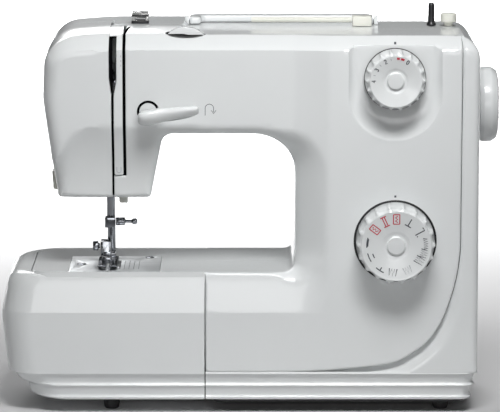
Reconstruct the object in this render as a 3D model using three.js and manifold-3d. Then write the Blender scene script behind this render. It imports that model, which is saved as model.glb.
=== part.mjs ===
// Domestic free-arm sewing machine. Millimetres, +Z up, X to the right, Y from front to back.
// The origin is on the table, under the middle of the machine.
import * as THREE from 'three';
import { mergeVertices } from 'three/addons/utils/BufferGeometryUtils.js';
import Module from 'manifold-3d';

const wasm = await Module();
wasm.setup();

// ---------------------------------------------------------------- driving dimensions
const WALL = 2.5;            // casing wall
const GAP = 0.35;            // air between neighbouring pieces
const FRONT = -52;           // front plane of the casing
const REAR = 72;             // rear plane of the casing
const PARTING = 8;           // plane where the front and rear covers meet
const RIGHT = 175;           // right side of the casing
const COVER_EDGE = 161.4;    // right edge of the front cover
const PILLAR = 35;           // side of the pillar that faces the needle
const HEAD_LEFT = -158;
const HEAD_BOTTOM = 165.5;
const ARM_BOTTOM = 216;
const TOP = 291;
const HEAD_TOP = 295;
const HEAD_STEP = -47;       // where the head's top steps down to the arm's top
const TOP_BEVEL_Y = 12;
const TOP_BEVEL_Z = 8;
const BED = 109;             // sewing surface
const CREASE = 79;           // line where the bed's front starts to lean back
const BED_LEAN = 6.5;
const BASE_LINE = 31.4;      // lower edge of the upright walls
const RIM_TOP = 21.6;
const RIM_BOTTOM = 10.8;
const RIM_INSET = 3;
const BASE_REAR = 76;
const SEAM = -33.9;          // right edge of the extension table
const TABLE_LEFT = -192.2;
const ARM_LEFT = -168;       // left end of the free arm
const ARM_FRONT = -44.6;     // front of the free arm
const ARM_REAR = 62;
const ARM_FLOOR = 47;
const SLOT_LEFT = -105.4;    // right edge of the face plate
const SLOT_WIDE = -106.8;    // the same edge where the take-up lever needs room
const STRIP = [-103.2, -96]; // raised strip between the two thread slots
const SLOT_RIGHT = -94.4;
const NEEDLE = { x: -107.6, y: -10 };
const BAR_RADIUS = 3;
const PRESSER_Y = 3;
const SHAFT = { y: 7.2, z: 232.7 };       // upper shaft and handwheel
const LOWER = { y: 10, z: 62 };           // lower shaft
const MOTOR = { y: 40, z: 62 };
const LENGTH_DIAL = { x: 110.2, z: 259.7, radius: 22.6, skirt: 23.6, depth: 16 };
const PATTERN_DIAL = { x: 111.1, z: 135.1, radius: 29.6, skirt: 31.9, depth: 23.6 };
const REVERSE = { x: -77.8, z: 232.3 };
const TENSION = { x: -48.9, z: 277, radius: 20 };
const HOOK = { x: -107.6, z: 78 };
const SPINDLE = { x: 141.5, y: 28 };
const HANDLE_PIVOT = { y: 40, z: 294.3 };

// ---------------------------------------------------------------- materials
const paint = (color, roughness, metalness = 0) =>
  new THREE.MeshStandardMaterial({ color, roughness, metalness });
const white = paint(0xdfe2e2, 0.25);
const cream = paint(0xe2e2d2, 0.35);
const black = paint(0x141416, 0.4);
const rubber = paint(0x1c1c1e, 0.85);
const steel = paint(0xb4b8ba, 0.3, 1);
const plateSteel = paint(0xa4a9ac, 0.45, 1);
const cast = paint(0x9b9ea0, 0.6, 1);
const motorPaint = paint(0x3a3c40, 0.5, 0.6);
const glass = paint(0xf4efe0, 0.05);

// ---------------------------------------------------------------- solids
function solid(geometry) {
  const bare = geometry.clone();
  bare.deleteAttribute('normal');
  bare.deleteAttribute('uv');
  const merged = mergeVertices(bare, 1e-4);
  return new wasm.Manifold(new wasm.Mesh({
    numProp: 3,
    vertProperties: new Float32Array(merged.attributes.position.array),
    triVerts: new Uint32Array(merged.index.array),
  }));
}

// A closed outline from [x, y, corner radius] points, each corner an arc of a few steps.
function outline(points, steps = 5) {
  const path = [];
  points.forEach(([x, y, radius = 0], i) => {
    const here = new THREE.Vector2(x, y);
    if (!radius) {
      path.push(here);
      return;
    }
    const before = points[(i + points.length - 1) % points.length];
    const after = points[(i + 1) % points.length];
    const back = new THREE.Vector2(before[0] - x, before[1] - y).normalize();
    const on = new THREE.Vector2(after[0] - x, after[1] - y).normalize();
    const half = Math.acos(back.dot(on)) / 2;
    const reach = radius / Math.tan(half);
    const start = here.clone().addScaledVector(back, reach);
    const end = here.clone().addScaledVector(on, reach);
    const centre = here.clone().addScaledVector(back.clone().add(on).normalize(), radius / Math.sin(half));
    const a0 = Math.atan2(start.y - centre.y, start.x - centre.x);
    let turn = Math.atan2(end.y - centre.y, end.x - centre.x) - a0;
    turn -= Math.round(turn / (2 * Math.PI)) * 2 * Math.PI;
    for (let k = 0; k <= steps; k += 1) {
      const a = a0 + (turn * k) / steps;
      path.push(new THREE.Vector2(centre.x + radius * Math.cos(a), centre.y + radius * Math.sin(a)));
    }
  });
  return new THREE.Shape(path);
}

const prism = (shape, depth) =>
  new THREE.ExtrudeGeometry(shape, { depth, bevelEnabled: false, steps: 1 });

// Outlines in X-Z run along Y, outlines in Y-Z run along X, and outlines in X-Y run along Z.
const alongY = (points, y0, y1, steps) =>
  solid(prism(outline(points, steps), y1 - y0).rotateX(Math.PI / 2).translate(0, y1, 0));
const alongX = (points, x0, x1, steps) =>
  solid(prism(outline(points, steps), x1 - x0).rotateY(Math.PI / 2).rotateX(Math.PI / 2).translate(x0, 0, 0));
const alongZ = (points, z0, z1, steps) =>
  solid(prism(outline(points, steps), z1 - z0).translate(0, 0, z0));

function box(x0, x1, y0, y1, z0, z1) {
  const shape = new THREE.BoxGeometry(x1 - x0, y1 - y0, z1 - z0);
  return solid(shape.translate((x0 + x1) / 2, (y0 + y1) / 2, (z0 + z1) / 2));
}

// Solids of revolution: profile is [radius, distance along the axis], from one end to the other.
function turned(profile, segments = 24) {
  return new THREE.LatheGeometry(profile.map(([r, h]) => new THREE.Vector2(r, h)), segments);
}
const turnedX = (profile, y, z, segments) =>
  solid(turned(profile, segments).rotateZ(-Math.PI / 2).translate(0, y, z));
const turnedY = (profile, x, z, segments) => solid(turned(profile, segments).translate(x, 0, z));
const turnedZ = (profile, x, y, segments) =>
  solid(turned(profile, segments).rotateX(Math.PI / 2).translate(x, y, 0));
const rod = (radius, a, b) => [[0, a], [radius, a], [radius, b], [0, b]];

// ---------------------------------------------------------------- the scene
const machine = new THREE.Group();
machine.name = 'sewing_machine';

function add(name, body, material) {
  const { vertProperties, triVerts, numProp } = body.getMesh();
  const position = new Float32Array((vertProperties.length / numProp) * 3);
  for (let i = 0; i < position.length / 3; i += 1) {
    position.set(vertProperties.slice(i * numProp, i * numProp + 3), i * 3);
  }
  const geometry = new THREE.BufferGeometry();
  geometry.setAttribute('position', new THREE.BufferAttribute(position, 3));
  geometry.setIndex(new THREE.BufferAttribute(new Uint32Array(triVerts), 1));
  geometry.computeVertexNormals();
  const mesh = new THREE.Mesh(geometry, material);
  mesh.name = name;
  machine.add(mesh);
}

// ---------------------------------------------------------------- casing
// The outer shape of the arm, head and pillar, drawn t inside the real surface.
function upperBody(t) {
  const left = HEAD_LEFT + t;
  const right = RIGHT - t;
  const low = BASE_LINE - (t ? 30 : 0);
  const side = alongY([
    [left + 11, HEAD_BOTTOM + (t ? -10 : 0), 3],
    [-76 - t, HEAD_BOTTOM + (t ? -10 : 0), 3],
    [-66 - t, ARM_BOTTOM + t, 9],
    [PILLAR + t, ARM_BOTTOM + t, 32],
    [PILLAR + t, low],
    [right, low],
    [right, TOP - t, 17],
    [HEAD_STEP - 0.5 - t, TOP - t],
    [HEAD_STEP - 4 - t, HEAD_TOP - t],
    [left + 3, HEAD_TOP - t, 10],
    [left, 258],
  ], FRONT, REAR);
  const section = (top) => [
    [FRONT + t, 10],
    [REAR - t, 10],
    [REAR - t, top - t, 8],
    [FRONT + TOP_BEVEL_Y, top - t],
    [FRONT + t, top - TOP_BEVEL_Z - t],
  ];
  const arm = alongX(section(TOP), HEAD_STEP - 6, RIGHT);
  const head = alongX([
    [FRONT + 7 + t, HEAD_BOTTOM - 20],
    [REAR - t, HEAD_BOTTOM - 20],
    [REAR - t, HEAD_TOP - t, 8],
    [FRONT + TOP_BEVEL_Y, HEAD_TOP - t],
    [FRONT + t, HEAD_TOP - TOP_BEVEL_Z - 1 - t],
    [FRONT + t, 226],
    [FRONT + 7 + t, HEAD_BOTTOM],
  ], HEAD_LEFT - 5, HEAD_STEP);
  return side.intersect(arm.add(head));
}

// The bed and the upright walls below it, from the table seam to the right side.
function lowerBody(t) {
  const section = [
    [FRONT + t, BASE_LINE - (t ? 30 : 0)],
    [REAR - t, BASE_LINE - (t ? 30 : 0)],
    [REAR - t, BED - t, 8],
    [FRONT + BED_LEAN + t, BED - t, 1.5],
    [FRONT + t, CREASE],
  ];
  return alongX(section, SEAM + t, RIGHT - t);
}

// The free arm that carries the needle plate, open towards the pillar.
function freeArm(t) {
  const plan = alongZ([
    [ARM_LEFT + t, ARM_FRONT + t, 14],
    [SEAM + 6 + (t ? 8 : 0), ARM_FRONT + t],
    [SEAM + 6 + (t ? 8 : 0), ARM_REAR - t],
    [ARM_LEFT + t, ARM_REAR - t, 20],
  ], ARM_FLOOR + t, BED - t);
  const section = alongX([
    [ARM_FRONT + t, ARM_FLOOR + t, 8],
    [ARM_REAR - t, ARM_FLOOR + t, 8],
    [ARM_REAR - t, BED - t, 4],
    [ARM_FRONT + t, BED - t],
  ], ARM_LEFT, SEAM + 20);
  return plan.intersect(section);
}

const outer = upperBody(0).add(lowerBody(0)).add(freeArm(0));
const inner = upperBody(WALL).add(lowerBody(WALL)).add(freeArm(WALL));
let shell = outer.subtract(inner);

// Holes through the wall, for what passes through it or sits in it.
const plateHole = box(-139.7, -68.9, -44, 25.4, BED - 1.8, BED + 5)
  .add(box(-132, -76, -37, 18, BED - 6, BED));
const hookHole = box(-138, -76, ARM_FRONT - 3, ARM_FRONT + WALL + 4, 56, 101);
const shaftHole = turnedX(rod(10.5, 160, 180), SHAFT.y, SHAFT.z);
const dialHoles = turnedY(rod(5, -60, -40), LENGTH_DIAL.x, LENGTH_DIAL.z, 16)
  .add(turnedY(rod(5, -60, -40), PATTERN_DIAL.x, PATTERN_DIAL.z, 16))
  .add(turnedY(rod(4.4, -60, -40), REVERSE.x, REVERSE.z, 16));
const tensionHole = box(-70, -28, -33, -21, TOP - 8, HEAD_TOP + 5);
const spindleHole = box(SPINDLE.x - 3, SPINDLE.x + 6.5, SPINDLE.y - 3, SPINDLE.y + 3, TOP - 6, TOP + 5);
const lifterHole = box(-109, -93, 10, 90, HEAD_BOTTOM - 10, 206);
const switchHole = box(165, 180, 33.5, 46.5, 109.5, 130.5);
const inletHole = box(165, 180, 27.5, 52.5, 64.5, 85.5);
for (const hole of [plateHole, hookHole, shaftHole, dialHoles, tensionHole, spindleHole,
  lifterHole, switchHole, inletHole]) {
  shell = shell.subtract(hole);
}

// The rim that carries the machine: a low ring, set in from the walls.
function plan(inset, rearInset) {
  return [
    [SEAM, FRONT + inset],
    [RIGHT - inset, FRONT + inset, 10],
    [RIGHT - inset, BASE_REAR - rearInset, 10],
    [SEAM, BASE_REAR - rearInset],
  ];
}
const rim = alongZ(plan(RIM_INSET, 0), RIM_BOTTOM, BASE_LINE)
  .add(alongZ(plan(0, BASE_REAR - REAR), BASE_LINE - 2, BASE_LINE + 1))
  .subtract(alongZ([
    [SEAM + WALL, FRONT + RIM_INSET + WALL],
    [RIGHT - RIM_INSET - WALL, FRONT + RIM_INSET + WALL, 8],
    [RIGHT - RIM_INSET - WALL, BASE_REAR - 6, 8],
    [SEAM + WALL, BASE_REAR - 6],
  ], RIM_BOTTOM - 5, BASE_LINE + 5));

// The front cover's outline: straight down at the right, then sweeping in along the base.
function coverMask(grow) {
  return alongY([
    [-300, 24 - grow],
    [40, 24 - grow],
    [96 + grow * 0.2, 35 - grow, 40],
    [140 + grow * 0.7, 52 - grow * 0.7, 30],
    [COVER_EDGE + grow, 112, 60],
    [COVER_EDGE + grow, 400],
    [-300, 400],
  ], -100, PARTING - GAP / 2, 6);
}
const facePlateZone = alongY([
  [-300, 100],
  [SLOT_LEFT, 100],
  [SLOT_LEFT, 222],
  [SLOT_WIDE, 230],
  [SLOT_WIDE, 400],
  [-300, 400],
], -100, 30);
const slotZone = box(SLOT_WIDE - 0.5, SLOT_RIGHT, -100, -36, 100, 400)
  .add(box(SLOT_RIGHT - 1, -88, -100, -36, 262, 400));
const frontHalf = box(-300, 300, -100, PARTING - GAP / 2, 0, 400);
const rearHalf = box(-300, 300, PARTING + GAP / 2, 200, 0, 400);
const facePlateAir = box(-300, SLOT_LEFT + GAP, -100, 30 + GAP, 125, 400);
const dialBoss = (dial, radius) => turnedY(
  [[5, FRONT + 2], [radius, FRONT + 2], [radius, FRONT + 5], [5, FRONT + 5], [5, FRONT + 2]],
  dial.x, dial.z, 28);
const dialSeat = (dial) => turnedY(rod(dial.skirt + 0.8, FRONT - 5, FRONT + 2.2), dial.x, dial.z, 40);

function casing() {
  const front = shell.intersect(coverMask(0))
    .add(dialBoss(LENGTH_DIAL, LENGTH_DIAL.skirt + 3))
    .add(dialBoss(PATTERN_DIAL, PATTERN_DIAL.skirt + 3))
    .subtract(dialSeat(LENGTH_DIAL))
    .subtract(dialSeat(PATTERN_DIAL))
    .subtract(facePlateAir)
    .subtract(slotZone)
    .subtract(alongZ(plan(-GAP, 0), 0, BASE_LINE + 1 + GAP));
  add('front_cover', front, white);

  const sideStrip = shell.intersect(frontHalf).subtract(coverMask(GAP)).subtract(freeArmAir());
  add('base_cover', sideStrip.add(rim), white);

  const rear = shell.intersect(rearHalf)
    .subtract(turnedX(rod(1.9, -60, -46), HANDLE_PIVOT.y, HANDLE_PIVOT.z, 16))
    .subtract(facePlateAir)
    .subtract(alongZ(plan(-GAP, -GAP), 0, BASE_LINE + 1 + GAP));
  add('rear_cover', rear, white);

  const facePlate = shell.intersect(facePlateZone).subtract(box(-300, 300, -100, 200, 0, 130));
  add('face_plate', facePlate, white);

  const floor = alongZ([
    [-28, -44, 6],
    [166, -44, 10],
    [166, 68, 10],
    [-28, 68, 6],
  ], 7.9, RIM_BOTTOM - GAP);
  add('bottom_plate', floor, black);

  const strip = alongX([
    [FRONT - 0.6, HEAD_TOP - TOP_BEVEL_Z - 1],
    [FRONT - 0.6, 226],
    [FRONT + 4.6, 184],
    [FRONT + 9, 184],
    [FRONT + 6, 226],
    [FRONT + 6, HEAD_TOP - 8],
    [FRONT + TOP_BEVEL_Y - 2, HEAD_TOP - 1.6],
  ], STRIP[0], STRIP[1]);
  add('thread_channel', strip, white);

  const cutter = alongY([
    [-149.6, 184],
    [-152.6, 183],
    [-151.6, 169.5],
    [-147.8, 168.5],
  ], -14, -2);
  add('thread_cutter', cutter.subtract(shell).subtract(inner), cream);

  const door = box(-137.6, -76.4, ARM_FRONT, ARM_FRONT + WALL, 56.4, 100.6)
    .add(box(-131, -119, ARM_FRONT - 0.1, ARM_FRONT + 5, 92, 95));
  add('hook_door', door, white);
}

// Room that the free arm keeps clear inside the base cover.
function freeArmAir() {
  return box(-300, SEAM + 2, -100, 200, 0, 400);
}

// The table is a tray that slips round the free arm from the left.
function extensionTable() {
  const make = (t) => {
    const side = alongY([
      [SEAM - GAP + (t ? 5 : 0), RIM_BOTTOM + t],
      [-171 + t, RIM_BOTTOM + t, 4],
      [-171 + t, RIM_TOP - 1 + t * 0.6],
      [-187 + t, BASE_LINE + 2 + t * 0.6],
      [TABLE_LEFT + t, CREASE - 3, 30],
      [-179 + t, BED - 1.4 - t * 0.2, 6],
      [SEAM - GAP + (t ? 5 : 0), BED - 1.4 - t * 0.2],
    ], -100, 100);
    const section = alongX([
      [FRONT + RIM_INSET + t, RIM_BOTTOM + t],
      [BASE_REAR - t * 1.6, RIM_BOTTOM + t],
      [BASE_REAR - t * 1.6, RIM_TOP],
      [REAR - t, BASE_LINE],
      [REAR - t, BED - 1.4 - t * 0.2, 8],
      [FRONT + BED_LEAN - 1.2 + t * 0.6, BED - 1.4 - t * 0.2],
      [FRONT + t, CREASE],
      [FRONT + t, BASE_LINE + t * 0.6],
      [FRONT + RIM_INSET + t, RIM_TOP + t * 0.6],
    ], -250, 100);
    const from = alongZ([
      [TABLE_LEFT + t, FRONT + t, 25 - t],
      [100, FRONT + t],
      [100, BASE_REAR - t],
      [TABLE_LEFT + t, BASE_REAR - t, 30 - t],
    ], 0, 200);
    return side.intersect(section).intersect(from);
  };
  const armRoom = alongZ([
    [ARM_LEFT - GAP, ARM_FRONT - GAP, 14],
    [50, ARM_FRONT - GAP],
    [50, ARM_REAR + GAP],
    [ARM_LEFT - GAP, ARM_REAR + GAP, 20],
  ], ARM_FLOOR - GAP, BED + 10);
  add('extension_table', make(0).subtract(make(WALL)).subtract(armRoom), white);
}

function feet() {
  const foot = (x, y, top) => turnedZ(
    [[0, 0], [5, 0], [5.6, 1], [6.8, top - 1.2], [6, top], [0, top]], x, y, 16);
  const under = 7.9 - GAP;
  add('foot_right_front', foot(147.8, -30, under), rubber);
  add('foot_right_rear', foot(147.8, 54, under), rubber);
  add('foot_left_front', foot(-18, 14, under), rubber);
  add('foot_left_rear', foot(-18, 54, under), rubber);
  add('table_foot_front', foot(-107, -30, RIM_BOTTOM - GAP), rubber);
  add('table_foot_rear', foot(-107, 54, RIM_BOTTOM - GAP), rubber);
}

// ---------------------------------------------------------------- needle and presser foot
function needleParts() {
  const { x, y } = NEEDLE;
  const collar = box(x - 3.6, x + 3.6, y - 4, y + 2.4, 214, 222);
  const bar = turnedZ(rod(BAR_RADIUS, 147.4, 262), x, y, 16).add(collar);
  add('needle_bar', bar, steel);

  const bore = turnedZ(rod(1.3, 138, 146), x, y, 12);
  add('needle_clamp', box(x - 4.4, x + 3.6, y - 5, y + 3.3, 139, 147).subtract(bore), steel);
  const screw = turnedX([
    [0, x + 3.95], [3.1, x + 3.95], [3.1, x + 10.8], [1.2, x + 11.4], [1.2, x + 16.2],
    [2.4, x + 17.2], [2.4, x + 19.6], [1.2, x + 20.6], [0, x + 20.6],
  ], y, 143.2, 12);
  add('clamp_screw', screw, steel);
  const needle = turnedZ(
    [[0, 112], [0.45, 115], [0.5, 130], [1, 132], [1, 145.7], [0, 145.7]], x, y, 10);
  add('needle', needle, steel);

  const plate = box(x - 8.4, x + 3.6, 8.5, 12.5, 170, 255);
  const lug = (z) => box(x - 8.4, x + 3.9, y - 5.5, 12.5, z, z + 8);
  const bores = turnedZ(rod(BAR_RADIUS + 0.3, 160, 270), x, y, 16)
    .add(turnedZ(rod(BAR_RADIUS + 0.3, 160, 270), x, PRESSER_Y, 16));
  const arm = box(x - 4, x + 3.6, 12, 24 - GAP, 236, 250);
  add('head_bracket', plate.add(lug(172)).add(lug(244)).add(arm).subtract(bores), cast);
}

function presserParts() {
  const { x } = NEEDLE;
  add('presser_bar', turnedZ(rod(BAR_RADIUS, 118, 258), x, PRESSER_Y, 16), steel);

  const ankle = box(x - 8.4, x - 0.2, -2.4, 8.4, 114.6, 126)
    .add(box(x - 6.2, x + 3.4, -5.4, 8.4, 114.6, 117.4))
    .subtract(turnedZ(rod(BAR_RADIUS + 0.35, 117.6, 130), x, PRESSER_Y, 24));
  add('foot_ankle', ankle, steel);
  const thumb = turnedX([
    [0, x - 14.6], [3.4, x - 14.6], [3.9, x - 13.8], [3.9, x - 10.6], [2, x - 10.2], [2, x - 8.8],
    [0, x - 8.8],
  ], PRESSER_Y, 121.6, 16);
  add('foot_screw', thumb, steel);

  const sole = alongX([
    [-38, 113.4],
    [-37, 112.4],
    [-29, 110.1],
    [6, 110.1],
    [9, 111.4],
    [9, 112.4],
    [2, 112.6],
    [-4, 114.2],
    [-20, 114.2],
    [-30, 112.6],
  ], x - 9.4, x + 5.6);
  const needleSlot = box(x - 4.2, x + 4.2, NEEDLE.y - 1.6, NEEDLE.y + 1.2, 105, 120)
    .add(box(x - 3, x - 0.6, -50, NEEDLE.y, 105, 120));
  add('presser_foot', sole.subtract(needleSlot), steel);

  const lever = alongX([
    [14.5, 182, 5.4],
    [13.5, 170.5, 5.4],
    [24, 168],
    [46, 149],
    [60, 146, 2],
    [61, 150.5, 2],
    [50, 154],
    [27, 176],
    [25, 182, 5.4],
  ], x + 4.4, x + 11, 4);
  add('presser_lifter', lever, cream);
}

function plateParts() {
  const { x, y } = NEEDLE;
  const dog = (x0, x1, y0, y1) => box(x0, x1, y0, y1, 103, 109.6);
  const rows = [[x - 7.4, x - 4.8], [x + 4.4, x + 7]];
  const needleHole = box(x - 4, x + 4, y - 5, y + 5, 100, 104);
  let feed = box(x - 7.4, x + 7, -24, 4, 100.4, 103.4).subtract(needleHole);
  let slots = box(x - 3.8, x + 3.8, y - 0.9, y + 0.9, 100, 115);
  for (const [x0, x1] of rows) {
    feed = feed.add(dog(x0, x1, -23, 3));
    slots = slots.add(box(x0 - 0.6, x1 + 0.6, -26.5, 6.5, 100, 115));
  }
  add('feed_dog', feed, steel);
  const screws = [['plate_screw_left', -130.5, -9], ['plate_screw_right', -78.5, 19]];
  let plate = alongZ([
    [-139.3, -43.6, 1],
    [-69.3, -43.6, 1],
    [-69.3, 25, 1],
    [-139.3, 25, 1],
  ], BED - 1.45, BED + 0.3, 2).subtract(slots);
  for (const [name, sx, sy] of screws) {
    plate = plate.subtract(turnedZ(rod(3.9, BED - 0.5, BED + 5), sx, sy, 20));
    const slot = box(sx - 5, sx + 5, sy - 0.5, sy + 0.5, BED + 0.3, BED + 5);
    add(name, turnedZ(rod(3.5, BED - 0.2, BED + 0.8), sx, sy, 20).subtract(slot), steel);
  }
  add('needle_plate', plate, plateSteel);
}

function hookParts() {
  const { x, z } = HOOK;
  const ring = turnedY([
    [16.5, -34], [21, -34], [21, -18], [4, -18], [4, -8], [0, -8], [0, -21], [16.5, -21], [16.5, -34],
  ], x, z, 24);
  const gate = box(x - 3.4, x + 3.4, -40, -30, z + 10, z + 25);
  add('hook', ring.subtract(gate), steel);
  const cup = turnedY([
    [0, -36], [15.8, -36], [15.8, -24], [14.8, -24], [14.8, -35], [2.4, -35], [2.4, -24.4], [0, -24.4],
    [0, -36],
  ], x, z, 20);
  add('bobbin_case', cup, steel);
  const spool = turnedY([
    [2.9, -34.4], [10.4, -34.4], [10.4, -33.4], [4, -33.4], [4, -25.6], [10.4, -25.6], [10.4, -24.6],
    [2.9, -24.6], [2.9, -34.4],
  ], x, z, 16);
  add('bobbin', spool, steel);
}

// ---------------------------------------------------------------- drive
function beltLoop(a, ra, b, rb, thickness, x0, x1) {
  const tangent = (grow) => {
    const dy = b.y - a.y;
    const dz = b.z - a.z;
    const heading = Math.atan2(dz, dy);
    const lean = Math.acos((ra - rb) / Math.hypot(dy, dz));
    const points = [];
    const sweep = (c, r, from, to) => {
      for (let k = 0; k <= 12; k += 1) {
        const angle = from + ((to - from) * k) / 12;
        points.push([c.y + r * Math.cos(angle), c.z + r * Math.sin(angle)]);
      }
    };
    sweep(b, rb + grow, heading - lean, heading + lean);
    sweep(a, ra + grow, heading + lean, heading - lean + 2 * Math.PI);
    return points;
  };
  return alongX(tangent(GAP + thickness), x0, x1).subtract(alongX(tangent(GAP), x0 - 1, x1 + 1));
}

function driveParts() {
  const crankPin = turnedX(rod(2, -103, -99), SHAFT.y, SHAFT.z + 13.5, 10);
  const shaft = turnedX([
    [0, -100], [16, -100], [16, -95], [4, -95], [4, 118], [13, 118], [13, 129], [4, 129], [4, 150],
    [26, 150], [26, 159], [4, 159], [4, 186], [0, 186],
  ], SHAFT.y, SHAFT.z, 20).add(crankPin);
  add('upper_shaft', shaft, steel);
  const wheel = turnedX([
    [4.35, 168], [8.6, 168], [8.6, 176.2], [26.4, 176.2], [28.6, 177.6], [29.3, 181], [29, 186.4],
    [26.6, 190.6],
    [22, 192.3], [17, 191.8], [13, 189.8], [0, 189.8], [0, 186.35], [4.35, 186.35], [4.35, 168],
  ], SHAFT.y, SHAFT.z, 32);
  add('handwheel', wheel, white);

  const lower = turnedX([
    [0, -72], [4, -72], [4, 118], [13, 118], [13, 129], [4, 129], [4, 140], [0, 140],
  ], LOWER.y, LOWER.z, 20);
  add('lower_shaft', lower, steel);
  add('timing_belt', beltLoop(SHAFT, 13, LOWER, 13, 1.6, 119, 128), rubber);

  const can = turnedX([
    [0, 58], [10, 58], [10, 62], [22, 62], [24, 64], [24, 108], [22, 110], [8, 110], [8, 114], [0, 114],
  ], MOTOR.y, MOTOR.z, 20);
  add('motor', can, motorPaint);
  const pulley = turnedX([
    [0, 114.4], [3, 114.4], [3, 150], [7, 150], [7, 159], [0, 159],
  ], MOTOR.y, MOTOR.z, 20);
  add('motor_pulley', pulley, steel);
  add('motor_belt', beltLoop(SHAFT, 26, MOTOR, 7, 1.6, 151, 158), rubber);

  const beam = box(-112, 146, 24, 32, 219.5, 262)
    .add(box(40, 54, 24, 32, 50, 262))
    .add(box(-150, 54, 24, 32, 51, 58));
  const upperLug = (x0) => box(x0, x0 + 9, -2, 25, 223, 243);
  const lowerLug = (x0) => box(x0, x0 + 9, 1, 25, 52, 71);
  const frame = beam.add(upperLug(-88)).add(upperLug(42)).add(upperLug(136.6))
    .add(lowerLug(-68)).add(lowerLug(42))
    .subtract(turnedX(rod(4.25, -90, 150), SHAFT.y, SHAFT.z, 20))
    .subtract(turnedX(rod(4.25, -75, 60), LOWER.y, LOWER.z, 20));
  add('frame_casting', frame, cast);
}

function takeUpLever() {
  const lever = alongX([
    [6, 270, 4],
    [6, 260, 4],
    [-20, 258],
    [-41, 251.5, 2],
    [-41.5, 257, 2],
    [-22, 263.5],
    [-4, 270, 4],
  ], -103.4, -101.8, 4);
  add('take_up_lever', lever.subtract(turnedX(rod(1, -110, -90), -39, 254.4, 10)), steel);
}

// ---------------------------------------------------------------- controls
// A dial: a shaft, a fluted grip and a dished face with a round cap.
function dial(name, { x, z, radius, skirt, depth }, flutes) {
  const face = FRONT - depth;
  const knob = turnedY([
    [0, face + 1.2], [6, face + 0.2], [7, face + 0.8], [7.2, face + 3.4], [radius - 5, face + 2.2],
    [radius - 1.6, face + 1.6], [radius, face + 4], [radius + 0.4, FRONT - GAP], [0, FRONT - GAP],
  ], x, z, flutes * 2);
  let grip = knob;
  for (let k = 0; k < flutes; k += 1) {
    const a = (2 * Math.PI * k) / flutes;
    const far = radius + 1.9;
    grip = grip.subtract(turnedY(rod(2.9, face - 2, FRONT - 2.5),
      x + far * Math.cos(a), z + far * Math.sin(a), 6));
  }
  const shaft = turnedY(rod(3.6, FRONT - 1, -20), x, z, 12);
  add(`${name}_dial`, grip.add(shaft), white);
  const ring = turnedY([[4, FRONT], [skirt, FRONT], [skirt, FRONT + 1.8], [4, FRONT + 1.8], [4, FRONT]],
    x, z, 36);
  add(`${name}_skirt`, ring, black);
}

function controls() {
  dial('stitch_length', LENGTH_DIAL, 18);
  dial('pattern', PATTERN_DIAL, 18);

  const { x, z } = REVERSE;
  const paddle = alongY([
    [x - 8.5, z - 8, 7],
    [x + 6, z - 8, 4],
    [x + 39.6, z + 3, 1.5],
    [x + 39.6, z + 9, 1.5],
    [x + 20, z + 4],
    [x + 3, z + 7, 4],
    [x - 8.5, z + 6, 6],
  ], FRONT - 13, FRONT - 1.2, 4);
  const stem = turnedY(rod(3.9, FRONT - 3, -26), x, z, 12);
  add('reverse_lever', paddle.add(stem), white);

  const wheel = turnedY(rod(TENSION.radius, -32, -22), TENSION.x, TENSION.z, 40)
    .subtract(turnedY(rod(3.4, -40, -10), TENSION.x, TENSION.z, 16));
  add('tension_dial', wheel, white);
  const discs = turnedY([
    [0, -36], [3, -36], [3, -20], [10, -19], [10, -17], [3, -16], [3, -13], [10, -12], [10, -10], [3, -9],
    [3, -2], [0, -2],
  ], TENSION.x, TENSION.z, 16);
  add('tension_discs', discs, steel);

  add('power_switch', alongY([
    [170, 110], [174.2, 110], [173, 120], [174.6, 130], [170, 130],
  ], 34, 46), black);
  const inlet = box(160, 174.8, 28, 52, 65, 85)
    .subtract(box(163, 180, 31, 49, 68, 82));
  add('power_inlet', inlet, black);
}

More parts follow.
